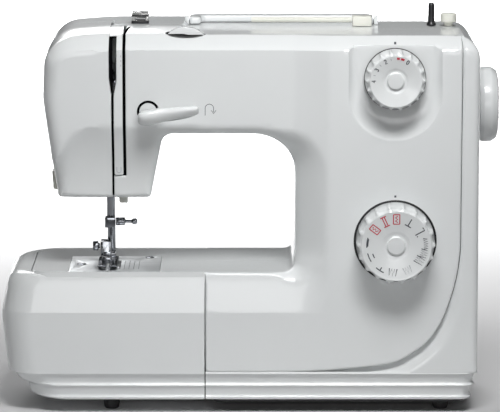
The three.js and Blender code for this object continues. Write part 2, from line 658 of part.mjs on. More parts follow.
// ---------------------------------------------------------------- top of the machine
function topParts() {
  const bore = turnedX(rod(1.9, -60, 110), HANDLE_PIVOT.y, HANDLE_PIVOT.z, 16);
  const clearance = outer.translate([0, 0, GAP]);
  const lug = (x0, top) => box(x0, x0 + 3.1, 36.5, 43.5, TOP - 1, top).subtract(bore).subtract(clearance);
  add('handle_lug_left', lug(-50.4, HEAD_TOP + 3), white);
  add('handle_lug_right', lug(97.3, TOP + 6.4), white);

  const ring = alongZ([
    [-47, 37.4, 2.6],
    [-38, 37.4, 2.6],
    [-38, 52, 4],
    [88, 52, 4],
    [88, 37.4, 2.6],
    [97, 37.4, 2.6],
    [97, 64, 6],
    [-47, 64, 6],
  ], 291.6, 297, 4);
  const section = alongX([
    [37.3, 291.6, 2.65],
    [64, 291.6, 2],
    [64, 297, 2],
    [37.3, 297, 2.65],
  ], -60, 110, 4);
  const pins = turnedX(rod(1.5, -49.8, -40), HANDLE_PIVOT.y, HANDLE_PIVOT.z, 12)
    .add(turnedX(rod(1.5, 90, 99.8), HANDLE_PIVOT.y, HANDLE_PIVOT.z, 12));
  add('carrying_handle', ring.intersect(section).add(pins), white);

  const tilt = new THREE.CylinderGeometry(2.1, 2.1, 78, 12);
  tilt.rotateZ(Math.PI / 2 - 0.024).translate(40.4, 30, 295.9);
  add('spool_pin', solid(tilt), cream);
  add('spool_pin_base', box(80, 95, 24, 35, TOP + GAP, 299), cream);

  const { x, y } = SPINDLE;
  const stem = turnedZ([
    [0, 266], [2, 266], [2, 271], [11, 271], [11, 276], [2, 276], [2, 291.6], [3.7, 291.6], [3.7, 292.6],
    [2.6, 294.2], [2.6, 307.6], [2, 309.4], [0, 309.4],
  ], x, y, 16);
  add('winder_spindle', stem, black);
  const arm = box(118, x + 4.6, y - 7, y + 7, 279, 282)
    .subtract(turnedZ(rod(2.25, 270, 290), x, y, 16));
  add('winder_arm', arm, steel);
  const stopper = turnedZ([
    [0, TOP + GAP], [3.4, TOP + GAP], [3.4, 294], [6.4, 294.4], [6.4, 300.4], [5.4, 301.2], [0, 301.2],
  ], 155, y, 20);
  add('bobbin_stopper', stopper, cream);

  const guide = box(-91, -78.2, 8, 18, HEAD_TOP + GAP, 304)
    .subtract(box(-88.6, -80.6, 0, 30, 297.6, 299.4));
  add('top_thread_guide', guide, glass);

  add('lamp', turnedZ([
    [0, 198], [5, 199], [8, 204], [8, 212], [6, 222], [6.5, 224], [6.5, 240], [0, 240],
  ], -138, -12, 16), glass);
}

casing();
extensionTable();
feet();
needleParts();
presserParts();
plateParts();
hookParts();
driveParts();
takeUpLever();
controls();
topParts();

export default machine;
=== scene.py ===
import math

import bmesh
import bpy
import numpy as np
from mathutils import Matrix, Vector
from mathutils.geometry import delaunay_2d_cdt


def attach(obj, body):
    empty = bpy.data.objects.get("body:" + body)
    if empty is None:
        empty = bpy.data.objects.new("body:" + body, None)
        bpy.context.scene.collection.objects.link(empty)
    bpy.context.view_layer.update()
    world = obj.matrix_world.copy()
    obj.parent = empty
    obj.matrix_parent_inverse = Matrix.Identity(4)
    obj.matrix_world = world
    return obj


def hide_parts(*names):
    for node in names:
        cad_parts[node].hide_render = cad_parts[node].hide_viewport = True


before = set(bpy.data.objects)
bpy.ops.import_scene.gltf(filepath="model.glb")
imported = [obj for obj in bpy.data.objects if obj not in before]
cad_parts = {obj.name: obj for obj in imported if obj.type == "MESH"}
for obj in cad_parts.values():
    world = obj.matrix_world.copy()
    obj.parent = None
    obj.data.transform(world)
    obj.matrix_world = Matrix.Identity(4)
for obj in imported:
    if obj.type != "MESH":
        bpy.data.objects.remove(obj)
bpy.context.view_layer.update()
MM = 0.001

# ------------ driving dimensions
FRONT, REAR, PARTING = -52.0, 72.0, 8.0
RIGHT, COVER_EDGE, PILLAR = 175.0, 161.4, 35.0
SEAM, SEAM_GAP = -33.9, 0.8
TOP, HEAD_TOP = 291.0, 295.0
HEAD_BOTTOM, ARM_BOTTOM = 165.5, 216.0
BED, TABLE_TOP, CREASE, BASE_LINE = 109.0, 108.7, 79.0, 31.4
FACE_HINGE_Y, DOOR_EDGE = 30.0, -105.0
HEAD_CREASE, HEAD_TILT, BED_LEAN = 222.0, 12.0, 6.5
CROWN_START, CROWN_RUN = -47.5, 3.5     # where the head's top begins to rise, and over what length
SLOT_RIGHT, SLOT_LEFT, STRIP_END, STRIP_PROUD = -94.4, -103.7, 183.4, 0.6
LENGTH_DIAL = (110.2, 259.7)
PATTERN_DIAL = (111.1, 135.1)
REVERSE = (-77.8, 232.3)
TENSION = (-48.9, 277.0)
SHAFT_Y, SHAFT_Z = 7.2, 232.7


def smooth(t):
    """An even S from 0 to 1."""
    t = np.clip(t, 0, 1)
    return t * t * (3 - 2 * t)


def rolled(t):
    """A quarter round: 0 where t is 0, and 1 at the very edge, where t is 1."""
    t = np.clip(t, 0, 1)
    return 1 - np.sqrt(np.maximum(1 - t * t, 0))


# ------------ materials
def material(name, colour, dark, rough, metal=0.0, grain=300.0, bump=0.02, coat=0.0,
             stretch=(1, 1, 1), rough_spread=0.08, transmission=0.0, mottle=9.0, gloss=0.5):
    """Principled material whose colour, roughness and bump all vary with noise in object space."""
    mat = bpy.data.materials.new(name)
    mat.use_nodes = True
    nodes, links = mat.node_tree.nodes, mat.node_tree.links
    shader = nodes["Principled BSDF"]
    for socket, value in (("Metallic", metal), ("IOR", 1.5), ("Specular IOR Level", gloss),
                          ("Coat Weight", coat), ("Coat Roughness", 0.06),
                          ("Transmission Weight", transmission)):
        shader.inputs[socket].default_value = value

    place = nodes.new("ShaderNodeTexCoord")
    scale = nodes.new("ShaderNodeMapping")
    scale.inputs["Scale"].default_value = stretch
    links.new(place.outputs["Object"], scale.inputs["Vector"])

    def noise(size, detail):
        node = nodes.new("ShaderNodeTexNoise")
        node.inputs["Scale"].default_value = size
        node.inputs["Detail"].default_value = detail
        links.new(scale.outputs["Vector"], node.inputs["Vector"])
        return node

    broad, fine = noise(mottle, 4.0), noise(grain, 3.0)
    ramp = nodes.new("ShaderNodeValToRGB")
    for element, position, tone in zip(ramp.color_ramp.elements, (0.3, 0.7), (dark, colour)):
        element.position = position
        element.color = (*tone, 1)
    links.new(broad.outputs["Fac"], ramp.inputs["Fac"])
    links.new(ramp.outputs["Color"], shader.inputs["Base Color"])

    spread = nodes.new("ShaderNodeMapRange")
    spread.inputs["To Min"].default_value = max(rough - rough_spread, 0.02)
    spread.inputs["To Max"].default_value = rough + rough_spread
    links.new(fine.outputs["Fac"], spread.inputs["Value"])
    links.new(spread.outputs["Result"], shader.inputs["Roughness"])

    relief = nodes.new("ShaderNodeBump")
    relief.inputs["Strength"].default_value = bump
    relief.inputs["Distance"].default_value = 0.0004
    links.new(fine.outputs["Fac"], relief.inputs["Height"])
    links.new(relief.outputs["Normal"], shader.inputs["Normal"])
    return mat


WHITE = material("gloss_white_plastic", (0.78, 0.80, 0.80), (0.755, 0.775, 0.78), 0.24, coat=0.35,
                 grain=420, bump=0.035, rough_spread=0.05)
CREAM = material("cream_plastic", (0.80, 0.80, 0.73), (0.76, 0.76, 0.69), 0.35, grain=500, bump=0.04)
BLACK = material("black_plastic", (0.016, 0.016, 0.018), (0.010, 0.010, 0.012), 0.32, grain=650, bump=0.08)
# Near-black, matt sheets laid in slots and openings where there is only shade: painted shade.
SLOT_SHADE = material("painted_slot_shade", (0.004, 0.004, 0.005), (0.002, 0.002, 0.002), 0.9, grain=300,
                    bump=0.05, gloss=0.0)
RUBBER = material("foot_rubber", (0.03, 0.03, 0.031), (0.018, 0.018, 0.019), 0.8, grain=900, bump=0.25)
BELT = material("belt_rubber", (0.035, 0.035, 0.035), (0.02, 0.02, 0.02), 0.75, grain=500, bump=0.3)
PLATE = material("brushed_plate", (0.72, 0.74, 0.75), (0.60, 0.62, 0.63), 0.42, 0.6, grain=260,
                 bump=0.10, stretch=(0.06, 1.8, 1), mottle=60, rough_spread=0.12)
CHROME = material("polished_steel", (0.34, 0.35, 0.37), (0.22, 0.23, 0.25), 0.16, 1.0, grain=380,
                  bump=0.03, mottle=40)
STEEL = material("machined_steel", (0.56, 0.57, 0.58), (0.46, 0.47, 0.48), 0.3, 1.0, grain=420,
                 bump=0.10, stretch=(2.5, 1, 1), mottle=45)
CAST = material("cast_metal", (0.44, 0.45, 0.46), (0.33, 0.34, 0.35), 0.55, 0.9, grain=600, bump=0.35,
                mottle=60)
MOTOR = material("motor_paint", (0.05, 0.052, 0.058), (0.035, 0.036, 0.04), 0.45, 0.5, grain=700, bump=0.2)
CLEAR = material("clear_plastic", (0.93, 0.93, 0.90), (0.88, 0.88, 0.86), 0.08, transmission=0.85,
                 grain=200, bump=0.01)
INK = material("grey_print", (0.10, 0.105, 0.12), (0.07, 0.075, 0.09), 0.45, grain=900, bump=0.03)
FAINT = material("faint_print", (0.42, 0.44, 0.46), (0.36, 0.38, 0.40), 0.4, grain=900, bump=0.03)
RED = material("red_print", (0.62, 0.035, 0.07), (0.52, 0.025, 0.05), 0.4, grain=900, bump=0.03)
FLOOR = material("studio_floor", (0.66, 0.66, 0.665), (0.65, 0.65, 0.655), 0.85, grain=40, bump=0.0,
                 mottle=1.5)


# ------------ mesh helpers
BEVEL_FROM = 32.0     # degrees between two faces from which their edge is rounded
BOX_FACES = [(0, 1, 3, 2), (4, 6, 7, 5), (0, 4, 5, 1), (2, 3, 7, 6), (0, 2, 6, 4), (1, 5, 7, 3)]


def placed(name, data):
    """A new object in the scene."""
    obj = bpy.data.objects.new(name, data)
    bpy.context.scene.collection.objects.link(obj)
    return obj


def piece(name, verts, faces, body, mat, replaces=(), wall=0.0, sharp=34.0, bevel=0.0, weld=0.01,
          openings=()):
    """A mesh piece from millimetre vertices. wall thickens a skin inwards, bevel rounds its sharp
    edges, and openings are boxes that are cut out of it."""
    bm = bmesh.new()
    made = [bm.verts.new(Vector(v) * MM) for v in verts]
    for face in faces:
        try:
            bm.faces.new([made[i] for i in face])
        except ValueError:     # the same face is already there
            continue
    if weld:
        bmesh.ops.remove_doubles(bm, verts=bm.verts, dist=weld * MM)
    bmesh.ops.recalc_face_normals(bm, faces=bm.faces)
    mesh = bpy.data.meshes.new(name)
    bm.to_mesh(mesh)
    bm.free()
    mesh.materials.append(mat)
    return settle(placed(name, mesh), body, replaces, wall, sharp, bevel, openings)


def box_corners(low, high):
    return [(x, y, z) for x in (low[0], high[0]) for y in (low[1], high[1]) for z in (low[2], high[2])]


def cutter_box(name, low, high):
    """A plain box between two corners, for cutting an opening."""
    mesh = bpy.data.meshes.new(name)
    corners = [tuple(MM * c for c in corner) for corner in box_corners(low, high)]
    mesh.from_pydata(corners, [], BOX_FACES)
    return placed(name, mesh)


def settle(obj, body, replaces=(), wall=0.0, sharp=34.0, bevel=0.0, openings=()):
    """Applies the thickness and the edge rounding, marks the sharp edges and hands the piece to the frame."""
    cutters = [cutter_box(f"opening_{i}", low, high) for i, (low, high) in enumerate(openings)]
    if wall:
        shell = obj.modifiers.new("wall", "SOLIDIFY")
        shell.thickness = wall * MM
        shell.offset = -1
    if bevel:
        round_off = obj.modifiers.new("edges", "BEVEL")
        round_off.width = bevel * MM
        round_off.segments = 2
        round_off.limit_method = "ANGLE"
        round_off.angle_limit = math.radians(BEVEL_FROM)
    for cutter in cutters:
        cut = obj.modifiers.new(cutter.name, "BOOLEAN")
        cut.operation = "DIFFERENCE"
        cut.solver = "EXACT"
        cut.object = cutter
    if wall or bevel:
        bpy.context.view_layer.update()
        shaped = obj.evaluated_get(bpy.context.evaluated_depsgraph_get())
        final = bpy.data.meshes.new_from_object(shaped)
        obj.modifiers.clear()
        obj.data = final
    for cutter in cutters:
        bpy.data.objects.remove(cutter)
    bm = bmesh.new()
    bm.from_mesh(obj.data)
    for face in bm.faces:
        face.smooth = True
    for edge in bm.edges:
        edge.smooth = edge.calc_face_angle(0) < math.radians(sharp)
    bm.to_mesh(obj.data)
    bm.free()
    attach(obj, body)
    if replaces:
        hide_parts(*replaces)
    return obj


def rounded(points, closed=True, step=3.0, turn=9.0):
    """A dense path through [x, y, corner radius] points: corners become arcs, straights are divided."""
    count = len(points)
    path = []
    for i, point in enumerate(points):
        here = Vector(point[:2])
        radius = point[2] if len(point) > 2 else 0
        if not radius or (not closed and i in (0, count - 1)):
            path.append(here)
            continue
        back = (Vector(points[i - 1][:2]) - here).normalized()
        on = (Vector(points[(i + 1) % count][:2]) - here).normalized()
        half = math.acos(max(-1, min(1, back.dot(on)))) / 2
        start = here + back * (radius / math.tan(half))
        centre = here + (back + on).normalized() * (radius / math.sin(half))
        a0 = math.atan2(start.y - centre.y, start.x - centre.x)
        end = here + on * (radius / math.tan(half))
        sweep = math.atan2(end.y - centre.y, end.x - centre.x) - a0
        sweep -= round(sweep / math.tau) * math.tau
        steps = max(2, int(abs(math.degrees(sweep)) / turn + 0.01))
        for k in range(steps + 1):
            a = a0 + sweep * k / steps
            path.append(centre + radius * Vector((math.cos(a), math.sin(a))))
    if not step:
        return np.array([p[:] for p in path])
    dense = []
    for i, p in enumerate(path):
        dense.append(p)
        if i == len(path) - 1 and not closed:
            break
        q = path[(i + 1) % len(path)]
        pieces = max(1, int((q - p).length / step + 0.5))
        for k in range(1, pieces):
            dense.append(p.lerp(q, k / pieces))
    return np.array([p[:] for p in dense])


def nearest(points, path, closed=True):
    """Distance from each point to the path, with the index of the nearest stretch and the place along it."""
    a = path
    b = np.roll(path, -1, axis=0)
    if not closed:
        a, b = a[:-1], b[:-1]
    d = b - a
    size = np.maximum((d * d).sum(1), 1e-12)
    best = np.full(len(points), 1e18)
    which = np.zeros(len(points), int)
    along = np.zeros(len(points))
    for i in range(len(a)):
        t = np.clip(((points - a[i]) @ d[i]) / size[i], 0, 1)
        gap = ((points - a[i] - t[:, None] * d[i]) ** 2).sum(1)
        closer = gap < best
        best[closer], which[closer], along[closer] = gap[closer], i, t[closer]
    return np.sqrt(best), which, along


def inside(points, path):
    """Which of the points lie inside the closed path."""
    a, b = path, np.roll(path, -1, axis=0)
    hits = np.zeros(len(points), bool)
    for (x0, y0), (x1, y1) in zip(a, b):
        if y0 == y1:
            continue
        crosses = (y0 > points[:, 1]) != (y1 > points[:, 1])
        x = x0 + (points[:, 1] - y0) * (x1 - x0) / (y1 - y0)
        hits ^= crosses & (points[:, 0] < x)
    return hits


def area(path):
    """The area inside a closed path, positive where it runs anticlockwise."""
    x, y = path[:, 0], path[:, 1]
    return 0.5 * float(np.sum(x * np.roll(y, -1) - np.roll(x, -1) * y))


def on_circle(x, y, radius, degrees):
    a = math.radians(degrees)
    return x + radius * math.cos(a), y + radius * math.sin(a)


def inward(loop):
    """Unit normals that point into a closed loop."""
    normal = np.roll(loop, -1, axis=0) - np.roll(loop, 1, axis=0)
    normal = np.stack([-normal[:, 1], normal[:, 0]], 1) * math.copysign(1, area(loop))
    return normal / np.maximum(np.linalg.norm(normal, axis=1), 1e-9)[:, None]


def edge_gap(x, z, path, closed=True):
    """How far each point (x, z) lies from the path."""
    return nearest(np.stack([x, z], 1), path, closed)[0]


RINGS = (0.12, 0.4, 0.8, 1.4, 2.2, 3.2, 4.5, 6.0, 8.0)     # distances of the rows of points from an edge
FEATURE_CLEAR = 0.55     # a feature line keeps other points at least this far away
WALL_STEPS = 9


def fill(path, holes=(), grid=3.2, rings=RINGS, rows=(), features=()):
    """Points and triangles that cover a closed path, packed closely along its edge. rows are
    heights with points all along them, and features are open lines that the mesh follows."""
    loops = [path, *holes]
    edge = np.concatenate(loops)
    low, high = path.min(0), path.max(0)
    xs = np.arange(low[0], high[0] + grid, grid)
    ys = np.arange(low[1], high[1] + grid, grid * 0.92)
    lattice = [(x + (grid / 2 if j % 2 else 0), y) for j, y in enumerate(ys) for x in xs]
    lattice += [(x, y) for y in rows for x in xs]
    candidates = [(np.array(lattice), rings[-1] + 0.3 * grid)]
    normal = inward(path)
    for reach in rings:
        candidates.append((path + normal * reach, reach * 0.93))

    def covered(points):
        ok = inside(points, path)
        for hole in holes:
            ok &= ~inside(points, hole)
        return ok

    kept = [edge]
    for points, clear in candidates:
        points = points[covered(points)]
        gap = np.min([nearest(points, loop)[0] for loop in loops], axis=0)
        kept.append(points[gap >= clear])
    for line in features:
        for i, points in enumerate(kept[1:], start=1):
            kept[i] = points[nearest(points, line, closed=False)[0] > FEATURE_CLEAR]
        clear = inside(line, path) & (nearest(line, path)[0] > 0.9)
        kept.append(line[clear])
    cloud = np.concatenate(kept)
    borders, first = [], 0
    for loop in loops:
        size = len(loop)
        borders += [(first + i, first + (i + 1) % size) for i in range(size)]
        first += size
    out = delaunay_2d_cdt([Vector(p) for p in cloud], borders, [], 0, 1e-5)
    flat = np.array([v[:] for v in out[0]])
    triangles = np.array([f[:] for f in out[2]])
    return flat, triangles[covered(flat[triangles].mean(1))].tolist()


def crown(x, y, z):
    """The head's top rises behind its front bevel, and falls away towards the left."""
    share = min(max((z - 255) / (TOP - 255), 0), 1)
    rise = (HEAD_TOP - TOP) * min(max((CROWN_START - x) / CROWN_RUN, 0), 1) * float(smooth((y + 40) / 38))
    fall = 4.5 * min(max((-100 - x) / 55, 0), 1) ** 1.6
    return x, y, z + share * (rise - fall)


def skin(name, path, height, back, body, mat, replaces=(), wall=1.8, holes=(), walled=None, rows=(),
         grid=3.2, rings=RINGS, features=(), **finish):
    """A moulded cover: a front surface y = height(x, z) over a closed path, with walls back to
    y = back(x, z) wherever walled(x, z) is true."""
    flat, triangles = fill(path, holes, grid, rings, rows, features)
    depth = height(flat[:, 0], flat[:, 1])
    verts = [(x, y, z) for (x, z), y in zip(flat, depth)]
    faces = [tuple(t) for t in triangles]
    for loop in (path, *holes):
        near = height(loop[:, 0], loop[:, 1])
        far = back(loop[:, 0], loop[:, 1])
        first = len(verts)
        for k in range(WALL_STEPS + 1):
            share = k / WALL_STEPS
            verts += [(x, a + (b - a) * share, z) for (x, z), a, b in zip(loop, near, far)]
        size = len(loop)
        for i in range(size):
            j = (i + 1) % size
            x, z = (loop[i] + loop[j]) / 2
            if walled and not walled(x, z):
                continue
            for k in range(WALL_STEPS):
                a, b = first + k * size, first + (k + 1) * size
                faces.append((a + i, a + j, b + j, b + i))
    verts = [crown(*v) for v in verts]
    return piece(name, verts, faces, body, mat, replaces, wall=wall, weld=0.004, **finish)


def turned(name, profile, axis, centre, body, mat, replaces=(), segments=96, shape=None, **finish):
    """A solid of revolution. profile holds [radius, place along the axis, corner radius] from end to end."""
    path = rounded(profile, closed=False, step=0, turn=15)
    verts, faces = [], []
    for r, h in path:
        for k in range(segments):
            a = math.tau * k / segments
            reach = shape(r, h, a) if shape else r
            u, v = reach * math.cos(a), reach * math.sin(a)
            place = {"X": (h, u, v), "Y": (u, h, v), "Z": (u, v, h)}[axis]
            verts.append(tuple(p + c for p, c in zip(place, centre)))
    for i in range(len(path) - 1):
        a, b = i * segments, (i + 1) * segments
        for k in range(segments):
            n = (k + 1) % segments
            faces.append((a + k, a + n, b + n, b + k))
    for end in (0, len(path) - 1):
        if path[end][0] > 0.02:
            faces.append(tuple(end * segments + k for k in range(segments)))
    return piece(name, verts, faces, body, mat, replaces, weld=0.02, **finish)


def refined(node, body, mat, bevel):
    """The CAD node's own shape with rounded edges, standing for it."""
    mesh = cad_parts[node].data.copy()
    bm = bmesh.new()
    bm.from_mesh(mesh)
    bmesh.ops.remove_doubles(bm, verts=bm.verts, dist=1e-6)
    bmesh.ops.dissolve_limit(bm, angle_limit=math.radians(1), verts=bm.verts, edges=bm.edges)
    bm.to_mesh(mesh)
    bm.free()
    mesh.materials.clear()
    mesh.materials.append(mat)
    return settle(placed(node + "_finish", mesh), body, (node,), bevel=bevel)


# ------------ the casing's outer surface
# The machine seen from the front, as corners of x, z and corner radius.
RIGHT_SHOULDER = (RIGHT, TOP, 17)
HEAD_SIDE = [(-156.0, TOP, 22), (-158.0, 243.0, 40), (-147.0, HEAD_BOTTOM, 3)]
HARP = [(-76.0, HEAD_BOTTOM, 3), (-66.0, ARM_BOTTOM, 9), (PILLAR, ARM_BOTTOM, 32), (PILLAR, BED, 8),
        (SEAM, BED)]
SILHOUETTE = [(SEAM, BASE_LINE), (RIGHT, BASE_LINE), RIGHT_SHOULDER, *HEAD_SIDE, *HARP]
# The rounding along the stretch after each corner: width, depth, and 1 where it is a flat bevel.
ROUNDINGS = [(0.8, 0.8, 0), (5.0, 5.0, 0), (10.4, 14.0, 1), (11.0, 12.0, 0.2), (11.0, 11.0, 0), (3.5, 3.5, 0),
             (6.5, 6.5, 0), (7.0, 7.0, 0.35), (24.0, 18.0, 0.7), (1.6, 1.6, 0), (0.01, 0.01, 0)]
BLEND_RUN = 12.0     # how far a change of rounding is spread along the outline


def silhouette_edge():
    """The silhouette as a dense path, with the rounding's width, depth and bevel share at each point."""
    path = rounded(SILHOUETTE, step=2.5)
    corners = np.array([c[:2] for c in SILHOUETTE])
    _, side, _ = nearest(path, corners)
    values = np.array([ROUNDINGS[i] for i in side], float)
    stretch = np.linalg.norm(np.roll(path, -1, axis=0) - path, axis=1)
    place = np.concatenate([[0], np.cumsum(stretch)[:-1]])
    total = stretch.sum()
    gap = np.abs(place[:, None] - place[None, :])
    gap = np.minimum(gap, total - gap)
    weight = np.exp(-((gap / BLEND_RUN) ** 2)) * stretch[None, :]
    return path, (weight @ values) / weight.sum(1)[:, None]


EDGE_PATH, EDGE_VALUES = silhouette_edge()


def edge_drop(x, z):
    """How far the surface falls back where it rounds over towards the silhouette."""
    gap, which, along = nearest(np.stack([x, z], 1), EDGE_PATH)
    after = (which + 1) % len(EDGE_PATH)
    width, depth, bevel = (EDGE_VALUES[which] * (1 - along)[:, None] + EDGE_VALUES[after] * along[:, None]).T
    t = np.clip(1 - gap / width, 0, 1)
    return depth * (bevel * t ** 1.25 + (1 - bevel) * rolled(t))


def bed_lean(z):
    """How far the bed's front has leaned back at height z."""
    t = np.clip((z - CREASE) / (BED - CREASE), 0, 1)
    return BED_LEAN * (0.9 * t + 0.1 * t ** 4)


DISH_X, DISH_LOW, DISH_HALF = 110.6, 212.5, 35.6
DISH_Z = DISH_LOW + DISH_HALF
DISH_FLOOR, DISH_DEPTH = 29.0, 4.6


def from_middle(dx, dz):
    """Distance from the middle of a U that is round below and straight above."""
    return np.where(dz < 0, np.hypot(dx, dz), np.abs(dx))


def dial_dish(x, z):
    """How deep the U-shaped hollow round the upper dial is."""
    outer = np.clip(DISH_HALF - from_middle(x - DISH_X, z - DISH_Z), 0, None)
    inner = np.clip(from_middle(x - LENGTH_DIAL[0], z - LENGTH_DIAL[1]) - DISH_FLOOR, 0, None)
    t = outer / (outer + inner + 1e-9)
    return DISH_DEPTH * (1 - (1 - t) ** 1.7)


def dish_lines():
    """Lines along the dish's outer edge, close together so that it stays crisp."""
    lines = []
    for off in (-0.5, 0.1, 0.7, 1.6):
        half = DISH_HALF - off
        bend = [on_circle(DISH_X, DISH_Z, half, a) for a in range(180, 361, 4)]
        left = [(DISH_X - half, z) for z in (284, 275, 266)]
        right = [(DISH_X + half, z) for z in (266, 275, 284)]
        lines.append(rounded([*left, *bend, *right], closed=False, step=2.2))
    return lines


def front_y(x, z):
    """The front of the upper casing and of the bed."""
    crease = HEAD_CREASE - 26 * np.clip((-122 - x) / 26, 0, 1) ** 2
    fall = np.clip((crease - z) / (crease - HEAD_BOTTOM), 0, 1)
    tilt = HEAD_TILT * (1 - (1 - fall) ** 1.9) * smooth((-56 - x) / 14)
    lean = bed_lean(z) * np.clip((60 - x) / 26, 0, 1) ** 0.85
    return FRONT + tilt + lean + np.maximum(dial_dish(x, z), edge_drop(x, z))


REAR_ROUND = 8.0


def rear_y(x, z):
    """The rear of the casing, rounded over all round."""
    return REAR - REAR_ROUND * rolled(1 - edge_gap(x, z, EDGE_PATH) / REAR_ROUND)


# The front cover's lower edge sweeps from the base up to the vertical seam at the right.
SWEEP = [(SEAM, 32.4), (8, 32.5), (40, 33), (69, 34.6), (108, 39.2), (126, 48), (137, 57), (146, 70),
         (151.8, 84), (156.4, 99), (159.4, 114), (161, 129)]


def curve(points):
    """A Catmull-Rom curve through the points, each stretch in five steps."""
    steps = 5
    p = [2 * Vector(points[0]) - Vector(points[1])] + [Vector(q) for q in points]
    p.append(2 * p[-1] - p[-2])
    out = []
    for i in range(1, len(p) - 2):
        for k in range(steps):
            t = k / steps
            out.append(0.5 * ((2 * p[i]) + (p[i + 1] - p[i - 1]) * t
                              + (2 * p[i - 1] - 5 * p[i] + 4 * p[i + 1] - p[i + 2]) * t * t
                              + (3 * p[i] - p[i - 1] - 3 * p[i + 1] + p[i + 2]) * t ** 3))
    out.append(p[-2])
    return [tuple(q) for q in out]


SWEEP_PATH = np.array(curve(SWEEP))


FRONT_HALF, REAR_HALF = PARTING - 0.15, PARTING + 0.15     # the two halves' walls meet with a gap
SEAM_ROUND, SLOT_ROUND, DOOR_ROUND = 1.7, 1.0, 0.9
HEAD_ROWS = (HEAD_CREASE, HEAD_CREASE - 0.8)


def flat_back(y):
    """A back for a cover whose walls all end at one depth."""
    return lambda x, z: np.full(len(x), y)


def front_cover():
    """Arm, pillar and bed in one curved skin, with the thread slot's right side and foot."""
    slot = [(SLOT_RIGHT, STRIP_END - 0.8), (SLOT_LEFT, STRIP_END - 0.8), (SLOT_LEFT, HEAD_BOTTOM)]
    path = rounded([*SWEEP_PATH, (COVER_EDGE, 282), (160.6, TOP), (SLOT_RIGHT, TOP), *slot, *HARP], step=2.6)
    seams = rounded([(SEAM, BED - 6), *SWEEP_PATH, (COVER_EDGE, 282), (160.6, TOP + 5)], closed=False)
    slot_edge = np.array([(SLOT_RIGHT, TOP + 5), *slot])

    def height(x, z):
        seam_gap = edge_gap(x, z, seams, closed=False) / SEAM_ROUND
        slot_gap = edge_gap(x, z, slot_edge, closed=False) / SLOT_ROUND
        radius = np.where(seam_gap < slot_gap, SEAM_ROUND, SLOT_ROUND)
        return front_y(x, z) + radius * rolled(1 - np.minimum(seam_gap, slot_gap))

    skin("front_cover_shell", path, height, flat_back(FRONT_HALF), "casing", WHITE, ("front_cover",),
         walled=lambda x, z: not (x < -76 and z < HEAD_BOTTOM + 0.2),
         rows=(CREASE - 0.7, CREASE, CREASE + 0.7, *HEAD_ROWS), grid=3.0,
         features=dish_lines())


def base_cover():
    """The side strip and the base below the front cover's sweep, with a soft hollow along the sweep."""
    swept = [(x + 0.5 * max(0, min(1, (x - 60) / 60)), z - 0.45) for x, z in SWEEP_PATH[::-1]]
    path = rounded([(SEAM, BASE_LINE - 0.3), (40, BASE_LINE - 0.2), (RIGHT, BASE_LINE), RIGHT_SHOULDER,
                    (161.0, TOP), (COVER_EDGE + 0.45, 282), *swept], step=2.6)
    sweep = np.concatenate([SWEEP_PATH, [(COVER_EDGE, TOP)]])

    def height(x, z):
        low = smooth((128 - z) / 70) * (0.2 + 0.8 * smooth((x - SEAM) / 90))
        t = np.clip(1 - edge_gap(x, z, sweep, closed=False) / (2.5 + 10.0 * low), 0, 1)
        return FRONT + 0.4 + (1.8 + 4.4 * low) * t ** 1.4 + edge_drop(x, z)

    skin("base_cover_shell", path, height, flat_back(FRONT_HALF), "casing", WHITE, ("base_cover",),
         walled=lambda x, z: x > RIGHT - 18, grid=3.0)


def face_plate():
    """The door at the left of the head, which swings on its rear edge."""
    seam = [(-105.3, HEAD_BOTTOM), (-105.3, 247), (-107, 259)]
    path = rounded([*seam, (-107, TOP), *HEAD_SIDE], step=2.6)
    edge = np.array([*seam, (-107, TOP + 5)])

    def height(x, z):
        return front_y(x, z) + DOOR_ROUND * rolled(1 - edge_gap(x, z, edge, closed=False))

    skin("face_plate_shell", path, height, flat_back(FACE_HINGE_Y), "face_door", WHITE, ("face_plate",),
         walled=lambda x, z: z > HEAD_BOTTOM + 0.2, rows=HEAD_ROWS, grid=3.0)


def thread_strip():
    """The raised strip between the two thread slots, and a near-black sheet behind them: painted shade in the
    slots.
    """
    path = rounded([(-103.4, STRIP_END, 1.4), (-96.6, STRIP_END, 1.4), (-96.6, TOP - 0.4),
                    (-106.7, TOP - 0.4), (-106.7, 289.9), (-101.2, 289.9), (-101.2, 257, 3),
                    (-103.4, 246, 3)], step=2.4)

    def height(x, z):
        return front_y(x, z) - STRIP_PROUD + 0.5 * rolled(1 - edge_gap(x, z, path) / 0.6)

    def back(x, z):
        return np.where(z > TOP - 0.5, FRONT_HALF, front_y(x, z) + 4.2)

    skin("thread_strip", path, height, back, "casing", WHITE, ("thread_channel",), wall=0, grid=2.0,
         rings=(0.12, 0.3, 0.6, 1.2))
    # A near-black sheet set back behind the slots: painted shade for the depth of the slots.
    liner = rounded([(-108.2, 167), (-92.5, 167), (-92.5, TOP - 1.0), (-108.2, TOP - 1.0)], step=4)
    lever_way = rounded([(-104.2, 224), (-101.2, 224), (-101.2, 288), (-104.2, 288)], step=4)
    skin("slot_shade_sheet", liner, lambda x, z: front_y(x, z) + 4.4, lambda x, z: front_y(x, z) + 4.9, "casing",
         SLOT_SHADE, wall=0, grid=4, rings=(0.5,), holes=(lever_way,))


